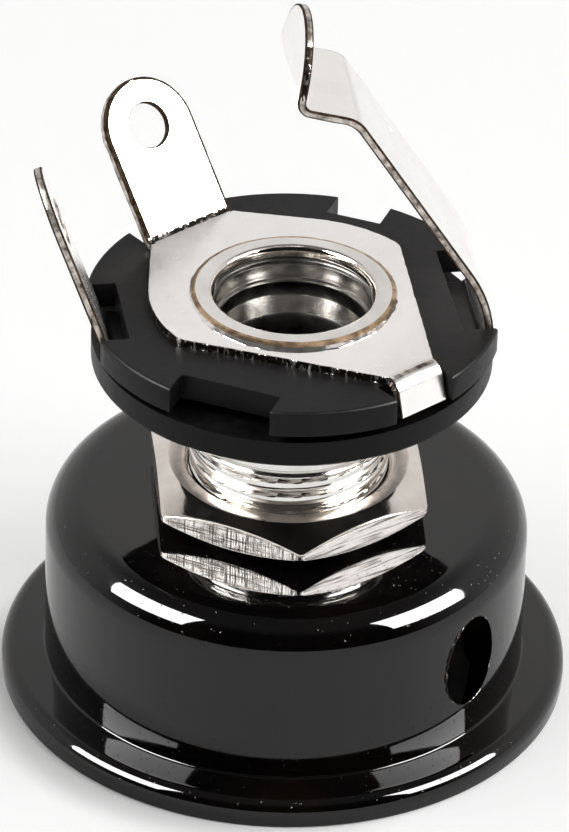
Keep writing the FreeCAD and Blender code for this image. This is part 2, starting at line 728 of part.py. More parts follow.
def sleeve_plate():
    # round plate with straight flanks that close in on the tab, and shoulders that run out to the lug
    body = new_body("SleevePlate", "sleeve_turn")
    sketch = new_sketch(body, "SleevePlate_outline", "XY_Plane")
    radius = size("sleeve_radius")
    shoulder = math.radians(size("sleeve_shoulder_angle"))
    corner = math.radians(size("sleeve_corner_angle"))
    root = FreeCAD.Vector(size("sleeve_lug_reach"), size("sleeve_lug_width") / 2, 0)
    waist = FreeCAD.Vector(-size("tab_reach"), size("tab_width") / 2, 0)
    low = FreeCAD.Vector(radius * math.cos(shoulder), radius * math.sin(shoulder), 0)
    high = FreeCAD.Vector(radius * math.cos(corner), radius * math.sin(corner), 0)

    def mirror(point):
        return FreeCAD.Vector(point.x, -point.y, 0)

    ring = Part.Circle(FreeCAD.Vector(), FreeCAD.Vector(0, 0, 1), radius)
    pieces = [
        Part.LineSegment(mirror(root), root),
        Part.LineSegment(root, low),
        Part.ArcOfCircle(ring, shoulder, corner),
        Part.LineSegment(high, waist),
        Part.LineSegment(waist, mirror(waist)),
        Part.LineSegment(mirror(waist), mirror(high)),
        Part.ArcOfCircle(ring, -corner, -shoulder),
        Part.LineSegment(mirror(low), mirror(root)),
    ]
    for piece in pieces:
        sketch.addGeometry(piece, False)
    for i in range(len(pieces)):
        sketch.addConstraint(Sketcher.Constraint("Coincident", i, 2, (i + 1) % len(pieces), 1))
    for arc in (2, 6):
        sketch.addConstraint(Sketcher.Constraint("Coincident", arc, 3, -1, 1))
        bind(sketch, Sketcher.Constraint("Radius", arc, radius), "Sizes.sleeve_radius")
    for edge, end, sign in ((1, 1, ""), (0, 1, "-")):
        hold_point(sketch, edge, end, "Sizes.sleeve_lug_reach", sign + "Sizes.sleeve_lug_width / 2")
    for edge, end, sign in ((4, 1, ""), (4, 2, "-")):
        hold_point(sketch, edge, end, "-Sizes.tab_reach", sign + "Sizes.tab_width / 2")
    for arc, end, angle in ((2, 1, "shoulder"), (2, 2, "corner"), (6, 2, "shoulder"), (6, 1, "corner")):
        formula = "Sizes.sleeve_radius * cos(Sizes.sleeve_%s_angle * 1 deg)" % angle
        bind(sketch, Sketcher.Constraint("DistanceX", -1, 1, arc, end, number(sketch, formula)), formula)
    circle(sketch, "0", "0", "Sizes.neck_hole_radius")
    pad = new_feature(body, "Pad", "SleevePlate_blank", sketch)
    pad.Length = size("sheet")
    pad.setExpression("Length", "Sizes.sheet")
    doc.recompute()

    def upright_corner(edge):
        first, last = edge.Vertexes[0].Point, edge.Vertexes[-1].Point
        at_corner = math.hypot(first.x - last.x, first.y - last.y) < 1e-6
        return at_corner and abs(first.x - high.x) < 1e-4 and abs(abs(first.y) - high.y) < 1e-4

    soften(body, "Fillet", "SleevePlate_corners", edges(body, upright_corner), "sleeve_corner_round")
    body.Placement.Base.z = size("top_insulator_top")
    body.setExpression("Placement.Base.z", "Sizes.top_insulator_top")
    doc.recompute()
    return body


PARTS = [
    jack_cup(),
    barrel(),
    nut("rear_nut", "cup_height", "rear_nut_thickness"),
    front_washer(),
    nut("front_nut", "front_nut_bottom", "front_nut_thickness"),
    base_insulator(),
    tip_contact(),
    tip_spring_arm(),
    top_insulator(),
    sleeve_terminal(),
]
doc.recompute()

# Checks before anything is written
for item in doc.Objects:
    if "Invalid" in item.State or "Error" in item.State:
        raise RuntimeError("%s did not build: %s" % (item.Name, item.State))
for item in PARTS:
    if item.Shape.isNull() or not item.Shape.isValid() or len(item.Shape.Solids) != 1:
        raise RuntimeError("%s is not one sound solid" % item.Label)

os.makedirs("parts", exist_ok=True)
for item in PARTS:
    item.Shape.exportStep("parts/%s.step" % item.Label)
    print("%-16s %8.2f mm3" % (item.Label, item.Shape.Volume))
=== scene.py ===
import bpy
import bmesh
import math
from mathutils import Matrix, Vector, noise
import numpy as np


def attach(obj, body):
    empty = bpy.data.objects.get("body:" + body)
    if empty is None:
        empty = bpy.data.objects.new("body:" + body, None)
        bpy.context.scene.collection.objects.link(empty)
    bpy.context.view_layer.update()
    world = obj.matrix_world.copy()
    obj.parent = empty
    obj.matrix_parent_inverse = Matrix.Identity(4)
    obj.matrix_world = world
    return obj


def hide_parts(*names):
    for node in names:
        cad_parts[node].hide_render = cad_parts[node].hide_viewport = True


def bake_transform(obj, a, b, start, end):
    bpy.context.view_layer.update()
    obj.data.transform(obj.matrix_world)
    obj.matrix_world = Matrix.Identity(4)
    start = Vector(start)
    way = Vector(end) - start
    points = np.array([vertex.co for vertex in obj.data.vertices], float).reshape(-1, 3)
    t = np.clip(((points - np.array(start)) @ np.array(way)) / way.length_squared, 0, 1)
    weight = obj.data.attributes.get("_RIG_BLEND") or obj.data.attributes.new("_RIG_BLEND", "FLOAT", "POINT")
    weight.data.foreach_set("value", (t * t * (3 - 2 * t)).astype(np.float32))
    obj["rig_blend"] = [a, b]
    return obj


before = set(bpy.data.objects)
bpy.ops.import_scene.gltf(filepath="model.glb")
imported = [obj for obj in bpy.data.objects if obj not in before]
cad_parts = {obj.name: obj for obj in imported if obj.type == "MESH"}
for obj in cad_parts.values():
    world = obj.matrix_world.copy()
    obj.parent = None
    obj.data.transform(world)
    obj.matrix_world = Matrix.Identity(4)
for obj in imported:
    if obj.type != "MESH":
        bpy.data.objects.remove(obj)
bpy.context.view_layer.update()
scene = bpy.context.scene
mm = 0.001


# sizes are in millimetres until a mesh is made

def looseObject(name, mesh, materials=()):
    piece = bpy.data.objects.new(name, mesh)
    scene.collection.objects.link(piece)
    for material in materials:
        mesh.materials.append(material)
    return piece


def newObject(name, mesh, materials):
    piece = looseObject(name, mesh, materials)
    return piece


def buildMesh(name, points, faces):
    mesh = bpy.data.meshes.new(name)
    mesh.from_pydata([(x * mm, y * mm, z * mm) for x, y, z in points], [], faces)
    mesh.validate()
    mesh.update()
    return mesh


def applyModifiers(piece):
    bpy.context.view_layer.update()
    shown = piece.evaluated_get(bpy.context.evaluated_depsgraph_get())
    baked = bpy.data.meshes.new_from_object(shown)
    old = piece.data
    piece.modifiers.clear()
    piece.data = baked
    bpy.data.meshes.remove(old)


def smoothBy(piece, degrees):
    # large flat faces keep their own direction, the rounds between them take up the turn
    piece.data.shade_smooth()
    piece.data.set_sharp_from_angle(angle=math.radians(degrees))
    weighted = piece.modifiers.new("flatFaces", "WEIGHTED_NORMAL")
    weighted.keep_sharp = True
    applyModifiers(piece)


def bevelEdges(piece, width, segments=2, degrees=30):
    bevel = piece.modifiers.new("softEdges", "BEVEL")
    bevel.width = width * mm
    bevel.segments = segments
    bevel.limit_method = "ANGLE"
    bevel.angle_limit = math.radians(degrees)
    bevel.use_clamp_overlap = True
    applyModifiers(piece)


def cutAway(piece, cutter):
    tool = piece.modifiers.new("cut", "BOOLEAN")
    tool.operation = "DIFFERENCE"
    tool.solver = "EXACT"
    tool.object = cutter
    applyModifiers(piece)
    bpy.data.objects.remove(cutter)


def joinMeshes(name, meshes):
    work = bmesh.new()
    for mesh in meshes:
        work.from_mesh(mesh)
    joined = bpy.data.meshes.new(name)
    work.to_mesh(joined)
    work.free()
    return joined


def outwardNormals(mesh):
    work = bmesh.new()
    work.from_mesh(mesh)
    bmesh.ops.recalc_face_normals(work, faces=work.faces)
    work.to_mesh(mesh)
    work.free()


def roundedLoop(corners, step=None):
    # closed outline with every corner (x, y, radius) turned into an arc, long runs divided
    count = len(corners)
    out = []
    for i in range(count):
        px, py, _ = corners[i - 1]
        x, y, radius = corners[i]
        nx, ny, _ = corners[(i + 1) % count]
        if radius == 0:
            out.append((x, y))
            continue
        back = Vector((px - x, py - y)).normalized()
        ahead = Vector((nx - x, ny - y)).normalized()
        here = Vector((x, y))
        half = back.angle(ahead) / 2
        reach = radius / math.tan(half)
        middle = here + (back + ahead).normalized() * (radius / math.sin(half))
        first = here + back * reach
        last = here + ahead * reach
        parts = max(2, round(4 + radius * 6))
        startAngle = math.atan2(first.y - middle.y, first.x - middle.x)
        endAngle = math.atan2(last.y - middle.y, last.x - middle.x)
        sweep = (endAngle - startAngle + math.pi) % (2 * math.pi) - math.pi
        for k in range(parts + 1):
            a = startAngle + sweep * k / parts
            out.append((middle.x + radius * math.cos(a), middle.y + radius * math.sin(a)))
    if step:
        divided = []
        for i, (x, y) in enumerate(out):
            nx, ny = out[(i + 1) % len(out)]
            pieces = max(1, round(math.hypot(nx - x, ny - y) / step))
            for k in range(pieces):
                divided.append((x + (nx - x) * k / pieces, y + (ny - y) * k / pieces))
        out = divided
    return out


def fixed(radius, height):
    return lambda angle: (radius, height)


def fixedRings(outline):
    return [fixed(radius, height) for radius, height in outline]


def ringPoints(rings, steps):
    # each ring is a function of the angle giving (radius, height)
    points = []
    for ring in rings:
        for k in range(steps):
            angle = 2 * math.pi * k / steps
            radius, height = ring(angle)
            points.append((radius * math.cos(angle), radius * math.sin(angle), height))
    return points


def bandFaces(first, second, steps):
    # quads between two closed loops of points
    faces = []
    for k in range(steps):
        n = (k + 1) % steps
        faces.append((first * steps + k, first * steps + n, second * steps + n, second * steps + k))
    return faces


def turnedGrid(name, rings, steps):
    # closed profile turned round the Z axis
    faces = []
    for i in range(len(rings)):
        faces += bandFaces(i, (i + 1) % len(rings), steps)
    return buildMesh(name, ringPoints(rings, steps), faces)


def turnedCutter(name, outline, steps):
    # solid drill with this outline of (radius, height), flat at both ends
    last = len(outline) - 1
    faces = [tuple(range(steps)), tuple(range(last * steps, (last + 1) * steps))]
    for i in range(last):
        faces += bandFaces(i, i + 1, steps)
    mesh = buildMesh(name, ringPoints(fixedRings(outline), steps), faces)
    outwardNormals(mesh)
    return mesh


def copyNode(name, node, materials):
    # the CAD node's own mesh as a new piece, its flat faces joined up again
    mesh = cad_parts[node].data.copy()
    mesh.name = name
    mesh.materials.clear()
    work = bmesh.new()
    work.from_mesh(mesh)
    bmesh.ops.remove_doubles(work, verts=work.verts, dist=0.002 * mm)
    bmesh.ops.dissolve_limit(work, angle_limit=math.radians(0.4), verts=work.verts, edges=work.edges,
                             use_dissolve_boundaries=False, delimit={"NORMAL"})
    work.to_mesh(mesh)
    work.free()
    for layer in [a.name for a in mesh.attributes if a.name.startswith("custom_normal")]:
        mesh.attributes.remove(mesh.attributes[layer])
    return newObject(name, mesh, materials)


print("helpers ready")


def startMaterial(name):
    material = bpy.data.materials.new(name)
    material.use_nodes = True
    tree = material.node_tree
    return material, tree, tree.nodes["Principled BSDF"]


def addNode(tree, kind, settings=None, inputs=None):
    item = tree.nodes.new(kind)
    for key, value in (settings or {}).items():
        setattr(item, key, value)
    for key, value in (inputs or {}).items():
        if isinstance(value, bpy.types.NodeSocket):
            tree.links.new(value, item.inputs[key])
        else:
            item.inputs[key].default_value = value
    return item


def noiseField(tree, scale, detail=4.0, stretch=(1, 1, 1)):
    place = addNode(tree, "ShaderNodeTexCoord")
    fit = addNode(tree, "ShaderNodeMapping", inputs={"Vector": place.outputs["Object"], "Scale": stretch})
    return addNode(tree, "ShaderNodeTexNoise", inputs={
        "Vector": fit.outputs["Vector"], "Scale": scale, "Detail": detail, "Roughness": 0.55}).outputs["Fac"]


def ramp(tree, value, stops):
    item = addNode(tree, "ShaderNodeValToRGB", inputs={"Fac": value})
    band = item.color_ramp
    while len(band.elements) < len(stops):
        band.elements.new(0.5)
    for element, (place, colour) in zip(band.elements, stops):
        element.position = place
        element.color = (*colour, 1) if len(colour) == 3 else (colour[0], colour[0], colour[0], 1)
    return item.outputs["Color"]


def bump(tree, height, strength, distance, under=None):
    inputs = {"Height": height, "Strength": strength, "Distance": distance * mm}
    if under is not None:
        inputs["Normal"] = under
    return addNode(tree, "ShaderNodeBump", inputs=inputs).outputs["Normal"]


def link(tree, source, shader, socket):
    tree.links.new(source, shader.inputs[socket])


def mathNode(tree, operation, first, second):
    return addNode(tree, "ShaderNodeMath", {"operation": operation}, {0: first, 1: second}).outputs[0]


def smoothRange(tree, value, fromLow, fromHigh, toLow, toHigh):
    item = addNode(tree, "ShaderNodeMapRange", {"interpolation_type": "SMOOTHSTEP"}, {
        "Value": value, "From Min": fromLow, "From Max": fromHigh, "To Min": toLow, "To Max": toHigh})
    return item.outputs["Result"]


lacquerLook = {
    "dark": (0.0016, 0.0015, 0.0017), "brown": (0.0052, 0.0034, 0.0027), "rough": (0.02, 0.075), "ior": 1.43,
}


def blackLacquer():
    look = lacquerLook
    material, tree, shader = startMaterial("blackLacquer")
    cloud = noiseField(tree, 260, 4)
    link(tree, ramp(tree, cloud, [(0.4, look["dark"]), (0.7, look["brown"])]), shader, "Base Color")
    smear = noiseField(tree, 900, 5)
    smooth, worn = look["rough"]
    link(tree, ramp(tree, smear, [(0.35, (smooth,)), (0.75, (worn,))]), shader, "Roughness")
    peel = noiseField(tree, 1300, 2)
    specks = ramp(tree, noiseField(tree, 5200, 1), [(0.73, (0,)), (0.79, (1,))])
    link(tree, bump(tree, specks, 0.5, 0.02, bump(tree, peel, 0.05, 0.012)), shader, "Normal")
    shader.inputs["IOR"].default_value = look["ior"]
    return material


def nickel(name, pale, dull, rough, scratches=((1, 1, 1), 6000, 0.1), tint=420):
    material, tree, shader = startMaterial(name)
    cloud = noiseField(tree, tint, 4)
    link(tree, ramp(tree, cloud, [(0.3, dull), (0.62, pale)]), shader, "Base Color")
    smear = noiseField(tree, 1500, 5)
    link(tree, ramp(tree, smear, [(0.3, (rough[0],)), (0.8, (rough[1],))]), shader, "Roughness")
    stretch, scale, strength = scratches
    lines = noiseField(tree, scale, 3, stretch)
    pits = noiseField(tree, 7000, 2)
    link(tree, bump(tree, pits, 0.05, 0.02, bump(tree, lines, strength, 0.02)), shader, "Normal")
    shader.inputs["Metallic"].default_value = 1.0
    return material


def scratchedFlat(name, pale, dull, stretches, strength, shares):
    # ground side of the nut, lines one way or crossed
    material, tree, shader = startMaterial(name)
    under = None
    both = None
    for stretch in stretches:
        lines = noiseField(tree, 11000, 3, stretch)
        under = bump(tree, lines, strength, 0.02, under)
        if both is None:
            both = lines
        else:
            both = mathNode(tree, "MINIMUM", both, lines)
    link(tree, ramp(tree, both, [(shares[0], dull), (shares[1], pale)]), shader, "Base Color")
    link(tree, ramp(tree, noiseField(tree, 3000, 4), [(0.3, (0.16,)), (0.75, (0.32,))]), shader, "Roughness")
    link(tree, under, shader, "Normal")
    shader.inputs["Metallic"].default_value = 1.0
    return material


def tornEdge(name, nicks):
    # sheared flank: dark and streaked across the sheet, with bright nicks
    material, tree, shader = startMaterial(name)
    streak = noiseField(tree, 5200, 4, (1, 1, 0.25))
    stops = [(0.0, (0.006, 0.004, 0.003)), (nicks, (0.014, 0.011, 0.009)), (nicks + 0.06, (0.6, 0.58, 0.55))]
    link(tree, ramp(tree, streak, stops), shader, "Base Color")
    link(tree, ramp(tree, streak, [(0.4, (0.5,)), (0.6, (0.25,))]), shader, "Roughness")
    link(tree, bump(tree, streak, 0.7, 0.05), shader, "Normal")
    shader.inputs["Metallic"].default_value = 1.0
    return material


def darkEdge(name, dark, pale):
    # dark and with no specular shine: a dark brown line along a sheet's rounded corners, and painted shade on
    # the cup's inner wall
    material, tree, shader = startMaterial(name)
    link(tree, ramp(tree, noiseField(tree, 3600, 4), [(0.4, dark), (0.68, pale)]), shader, "Base Color")
    link(tree, ramp(tree, noiseField(tree, 2500, 3), [(0.3, (0.5,)), (0.7, (0.8,))]), shader, "Roughness")
    link(tree, bump(tree, noiseField(tree, 5200, 3), 0.4, 0.03), shader, "Normal")
    shader.inputs["Specular IOR Level"].default_value = 0.0
    return material


def fibreBlack(name, dark, pale, ior, shine):
    material, tree, shader = startMaterial(name)
    cloud = noiseField(tree, 700, 5)
    link(tree, ramp(tree, cloud, [(0.3, dark), (0.75, pale)]), shader, "Base Color")
    smear = noiseField(tree, 2200, 4)
    link(tree, ramp(tree, smear, [(0.3, (0.34,)), (0.75, (0.5,))]), shader, "Roughness")
    grain = noiseField(tree, 5200, 4)
    link(tree, bump(tree, grain, 0.16, 0.03), shader, "Normal")
    shader.inputs["IOR"].default_value = ior
    shader.inputs["Specular IOR Level"].default_value = shine
    return material


lacquer = blackLacquer()
# painted shade: dead black with no shine for the cup's inner wall and its screw holes
shadedWallBlack = darkEdge("shadedWallBlack", (0.0015, 0.0013, 0.0012), (0.004, 0.0035, 0.0032))
chipped = tornEdge("chippedRim", 0.56)
nickelBarrel = nickel("brightNickel", (0.80, 0.785, 0.765), (0.66, 0.64, 0.61),
                      (0.07, 0.16), ((0.2, 0.2, 1), 9000, 0.08))
nickelNut = nickel("turnedNickel", (0.76, 0.71, 0.67), (0.62, 0.57, 0.52),
                   (0.06, 0.12), ((1, 1, 1), 9000, 0.06))
turnedFace = nickel("turnedFace", (0.60, 0.54, 0.49), (0.46, 0.41, 0.36),
                    (0.26, 0.38), ((1, 1, 1), 9000, 0.1), 1500)
# painted shade: the bore's nickel darkened inside the tube, and darker still further in, in the groove and on
# the lip's front spot
boreShadeNickel = nickel("boreShadeNickel", (0.38, 0.37, 0.355), (0.11, 0.105, 0.098),
                    (0.13, 0.26), ((0.12, 0.12, 1), 8000, 0.15), 700)
darkShadeNickel = nickel("darkShadeNickel", (0.20, 0.195, 0.185), (0.09, 0.087, 0.082),
                  (0.26, 0.38), ((0.2, 0.2, 1), 6000, 0.15), 900)
crossedFlat = scratchedFlat("crossedFlat", (0.86, 0.82, 0.78), (0.12, 0.10, 0.085),
                            ((0.06, 0.06, 1), (1, 1, 0.06)), 0.9, (0.38, 0.53))
groundFlat = scratchedFlat("groundFlat", (0.40, 0.375, 0.36), (0.05, 0.045, 0.04),
                           ((0.05, 0.05, 1),), 0.2, (0.33, 0.5))
tinSheet = nickel("tinnedSheet", (0.90, 0.88, 0.865), (0.86, 0.84, 0.825),
                  (0.2, 0.3), ((1, 1, 1), 5000, 0.06))
sheetEdge = nickel("sheetEdge", (0.60, 0.55, 0.50), (0.07, 0.052, 0.04),
                   (0.26, 0.42), ((1, 1, 1), 4200, 0.5), 2400)
darkCornerEdge = darkEdge("darkCornerEdge", (0.035, 0.022, 0.014), (0.13, 0.09, 0.06))
goldEdge = nickel("heatedEdge", (0.55, 0.40, 0.26), (0.12, 0.07, 0.04),
                  (0.16, 0.3), ((1, 1, 1), 4200, 0.3), 1600)
torn = tornEdge("tornEdge", 0.55)
fibre = fibreBlack("blackFibre", (0.0085, 0.0080, 0.0082), (0.0125, 0.0115, 0.0115), 1.42, 0.16)
paintedShadeFibre = fibreBlack("shadedFibre", (0.0022, 0.0020, 0.0020), (0.0050, 0.0045, 0.0045), 1.3, 0.3)
print("materials ready")


cup = {
    "profile": [(10.0, 0, 0.4), (13.695, 0, 0.12), (13.695, 1.33, 0.7), (11.6, 1.33, 0.13), (11.6, 9.92, 1.9),
                (4.8825, 9.92, 0.12), (4.8825, 8.32, 0.1), (10.0, 8.32, 0.5)],
    "steps": 288, "step": 1.1, "radius": 11.6,
    "holeHeading": -39.7, "holeTilt": 45, "holeHeight": 5.5, "holeRadius": 1.7,
    "headRadius": 2.4, "headDepth": 2.15, "drillStart": -5, "drillEnd": 6.4,
    "wallReach": (9.9, 11.54), "wallHeight": (1.0, 8.2),
}


def holeCutter(heading):
    tilt = math.radians(cup["holeTilt"])
    shank, head, depth = cup["holeRadius"], cup["headRadius"], cup["headDepth"]
    outline = [(shank, cup["drillStart"]), (shank, depth), (head, depth + head - shank),
               (head, depth + cup["drillEnd"])]
    mesh = turnedCutter("holeCutter", outline, 72)
    inward = Vector((-math.cos(tilt), 0, -math.sin(tilt)))
    turn = inward.to_track_quat("Z", "Y").to_matrix().to_4x4()
    place = Matrix.Translation((cup["radius"] * mm, 0, cup["holeHeight"] * mm)) @ turn
    mesh.transform(Matrix.Rotation(math.radians(heading), 4, "Z") @ place)
    return looseObject("holeCutter", mesh)


def holeRim(heading):
    # thin broken rim of lacquer round the hole, thickest where the drill tore it
    tilt = math.radians(cup["holeTilt"])
    inward = Vector((-math.cos(tilt), 0, -math.sin(tilt)))
    aside = Vector((0, 1, 0))
    above = Vector((-math.sin(tilt), 0, math.cos(tilt)))
    start = Vector((cup["radius"], 0, cup["holeHeight"]))
    count, around = 160, 8
    middle = []
    for k in range(count):
        t = 2 * math.pi * k / count
        point = start + (aside * math.cos(t) + above * math.sin(t)) * (cup["holeRadius"] + 0.02)
        low, high = -4.0, 4.0
        for _ in range(30):
            at = (low + high) / 2
            here = point + inward * at
            if math.hypot(here.x, here.y) > cup["radius"]:
                low = at
            else:
                high = at
        middle.append(point + inward * low)
    points, faces = [], []
    for k, here in enumerate(middle):
        t = 2 * math.pi * k / count
        tornSide = max(0.0, math.cos(t - 2.75)) ** 5
        jag = abs(noise.noise(Vector((math.cos(t) * 9, math.sin(t) * 9, 2.5))))
        thick = 0.018 + 0.02 * jag + tornSide * (0.02 + 0.2 * jag)
        ahead = (middle[(k + 1) % count] - middle[k - 1]).normalized()
        outward = Vector((here.x, here.y, 0)).normalized()
        across = ahead.cross(outward).normalized()
        for j in range(around):
            a = 2 * math.pi * j / around
            points.append(tuple(here + (across * math.cos(a) + outward * math.sin(a) * 0.6) * thick))
    for k in range(count):
        n = (k + 1) % count
        for j in range(around):
            m = (j + 1) % around
            faces.append((k * around + j, n * around + j, n * around + m, k * around + m))
    mesh = buildMesh("holeRim", points, faces)
    mesh.transform(Matrix.Rotation(math.radians(heading), 4, "Z"))
    outwardNormals(mesh)
    return mesh


def makeCup():
    loop = roundedLoop(cup["profile"], cup["step"])
    mesh = turnedGrid("cupShell", fixedRings(loop), cup["steps"])
    piece = newObject("cupShell", mesh, [lacquer, shadedWallBlack])
    headings = (cup["holeHeading"], cup["holeHeading"] + 180)
    for heading in headings:
        cutAway(piece, holeCutter(heading))
    # painted shade: the inner wall and the walls of the screw holes through it get the dead black
    innerReach, outerReach = cup["wallReach"]
    low, high = cup["wallHeight"]
    for face in piece.data.polygons:
        reach = math.hypot(face.center.x, face.center.y) / mm
        inWall = innerReach < reach < outerReach and low < face.center.z / mm < high
        face.material_index = 1 if inWall else 0
    smoothBy(piece, 32)
    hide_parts("jack_cup")
    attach(piece, "jack")
    rims = joinMeshes("holeRims", [holeRim(heading) for heading in headings])
    rim = newObject("holeRims", rims, [chipped])
    smoothBy(rim, 50)
    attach(rim, "jack")


makeCup()
print("cup ready")


barrel = {
    "front": 5.19, "shoulder": 17.45, "pitch": 0.79375, "crest": 4.7625, "depth": 0.30, "phase": 12.80,
    "groove": 0.16, "nutTop": 11.8, "reliefBottom": 13.75, "reliefTop": 14.05, "relief": 0.42,
    "bore": 3.2, "neck": 4.3, "lipBottom": 21.1, "lipTop": 21.3, "steps": 240,
    "crestSoftness": 0.035, "startLength": 0.5, "startDepth": 0.4,
    "shankFirst": 14.2, "shankStep": 0.35, "shankRings": 10,
    "sideFoot": [(4.88, 21.105, 0.05), (4.9, 21.12, 0.045), (4.88, 21.15, 0.036), (4.86, 21.18, 0.028),
                 (4.85, 21.21, 0.02)],
    "sideGold": [(4.82, 21.245, 0.012), (4.77, 21.272, 0.008), (4.70, 21.29, 0.004)],
    "flare": [(3.98, 21.29), (3.91, 21.26), (3.86, 21.2), (3.82, 21.12), (3.79, 21.02), (3.77, 20.9),
              (3.75, 20.8)],
    "innerGroove": [(3.77, 20.77), (3.9, 20.74), (3.93, 20.7), (3.93, 20.5), (3.9, 20.46), (3.75, 20.42)],
    "land": [(3.73, 20.38), (3.72, 19.72), (3.70, 19.65), (3.58, 19.6), (3.55, 19.52), (3.55, 19.45),
             (3.6, 19.4), (3.6, 18.75), (3.58, 18.7)],
}


def threadRadius(height, angle):
    b = barrel
    turn = ((height - b["phase"]) / b["pitch"] - (angle + math.pi / 2) / (2 * math.pi)) % 1.0
    away = min(turn, 1 - turn) / b["groove"]  # 0 in the groove's middle, 1 where the broad crest begins
    depth = b["depth"] * max(0.0, 1 - away) ** 0.8
    crown = b["crestSoftness"] * (1 - math.cos(2 * math.pi * turn)) / 2  # broad crests, slightly round
    start = min(1.0, max(0.0, (height - b["front"]) / b["startLength"]))
    return b["crest"] - b["crestSoftness"] + crown - depth - b["startDepth"] * (1 - start)


def flatSpot(angle):
    # short smooth part of the lip that faces the front; its side is coloured dark, painted shade
    return abs(angle - 1.5 * math.pi - 0.06) < 0.24


def lipSide(radius, height, rough):
    # the rolled edge isn't quite true: it spreads towards the front and has a ragged foot
    def ring(angle):
        front = max(0.0, -math.sin(angle))
        wave = noise.noise(Vector((math.cos(angle) * 3, math.sin(angle) * 3, height)))
        fine = noise.noise(Vector((math.cos(angle) * 16, math.sin(angle) * 16, height * 2)))
        rag = 0.0 if flatSpot(angle) else rough
        return radius + 8 * rough * front * front + rag * (0.8 * wave + 1.2 * fine), height + rag * 0.5 * fine
    return ring


def makeBarrel():
    b = barrel
    rings = [fixed(b["bore"] + 0.5, b["front"])]
    coarse = round((b["nutTop"] - b["front"]) / b["pitch"] * 10)
    fine = round((b["reliefBottom"] - b["nutTop"]) / b["pitch"] * 24)
    heights = [b["front"] + (b["nutTop"] - b["front"]) * i / coarse for i in range(coarse)]
    heights += [b["nutTop"] + (b["reliefBottom"] - b["nutTop"]) * i / fine for i in range(fine + 1)]
    for height in heights:
        rings.append(lambda angle, h=height: (threadRadius(h, angle), h))
    deep = b["crest"] - b["relief"]
    rings += fixedRings([
        (b["crest"] - 0.03, 13.78), (deep + 0.05, b["reliefBottom"] + 0.08), (deep, 13.88), (deep, 14.0),
        (deep + 0.04, b["reliefTop"]), (b["crest"] - 0.05, 14.12), (b["crest"], 14.17)])
    rings += [fixed(b["crest"], b["shankFirst"] + b["shankStep"] * k) for k in range(b["shankRings"])]
    rings += fixedRings([
        (b["crest"] - 0.05, b["shoulder"]), (b["neck"] + 0.02, b["shoulder"]),
        (b["neck"], b["shoulder"] + 0.05), (b["neck"], b["lipBottom"]), (4.7, b["lipBottom"] + 0.003)])
    sideFirst = len(rings)
    rings += [lipSide(*row) for row in b["sideFoot"]]
    goldFirst = len(rings)
    rings += [lipSide(*row) for row in b["sideGold"]]
    goldLast = len(rings)
    rings += fixedRings([(4.63, 21.297), (4.55, b["lipTop"]), (4.05, b["lipTop"])])
    flareFirst = len(rings)
    rings += fixedRings(b["flare"])
    flareLast = len(rings)
    rings += fixedRings(b["innerGroove"])
    landFirst = len(rings)
    rings += fixedRings(b["land"])
    deepFirst = len(rings)
    rings += [fixed(3.24, 17.98), fixed(b["bore"], 17.88)]
    for i in range(9):
        rings.append(fixed(b["bore"], 17 - i * 1.35))
    rings += [fixed(b["bore"], 5.72), fixed(b["bore"] + 0.05, 5.62)]
    mesh = turnedGrid("threadedBarrel", rings, b["steps"])
    # painted shade: the groove under the flare, the deep bore and the lip's front spot get the darkest nickel,
    # the land a lighter shaded one
    for face in mesh.polygons:
        ring = face.index // b["steps"]
        angle = 2 * math.pi * (face.index % b["steps"]) / b["steps"]
        if goldFirst - 1 <= ring < goldLast:
            face.material_index = 1
        elif sideFirst - 1 <= ring < goldFirst - 1 and flatSpot(angle):
            face.material_index = 4
        elif flareFirst <= ring < flareLast:
            face.material_index = 2
        elif flareLast <= ring < deepFirst:
            face.material_index = 4 if ring < landFirst else 3
        elif ring >= deepFirst:
            face.material_index = 4
    looks = [nickelBarrel, goldEdge, nickelNut, boreShadeNickel, darkShadeNickel]
    piece = newObject("threadedBarrel", mesh, looks)
    smoothBy(piece, 40)
    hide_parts("barrel")
    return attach(piece, "jack")


makeBarrel()
print("barrel ready")


nut = {
    "flats": 12.7, "thick": 2.03, "turn": 5.8, "bore": 4.8025, "face": 5.7, "slope": 28, "boreChamfer": 0.3,
    "steps": 288, "cornerCut": 0.045, "rearBottom": 9.92, "frontBottom": 5.79,
}


def nutRadius(angle):
    # distance to the hexagon's side, its corners just taken off
    away = (angle + math.pi / 6) % (math.pi / 3) - math.pi / 6
    return min(nut["flats"] / 2 / math.cos(away), nut["flats"] / math.sqrt(3) - nut["cornerCut"])


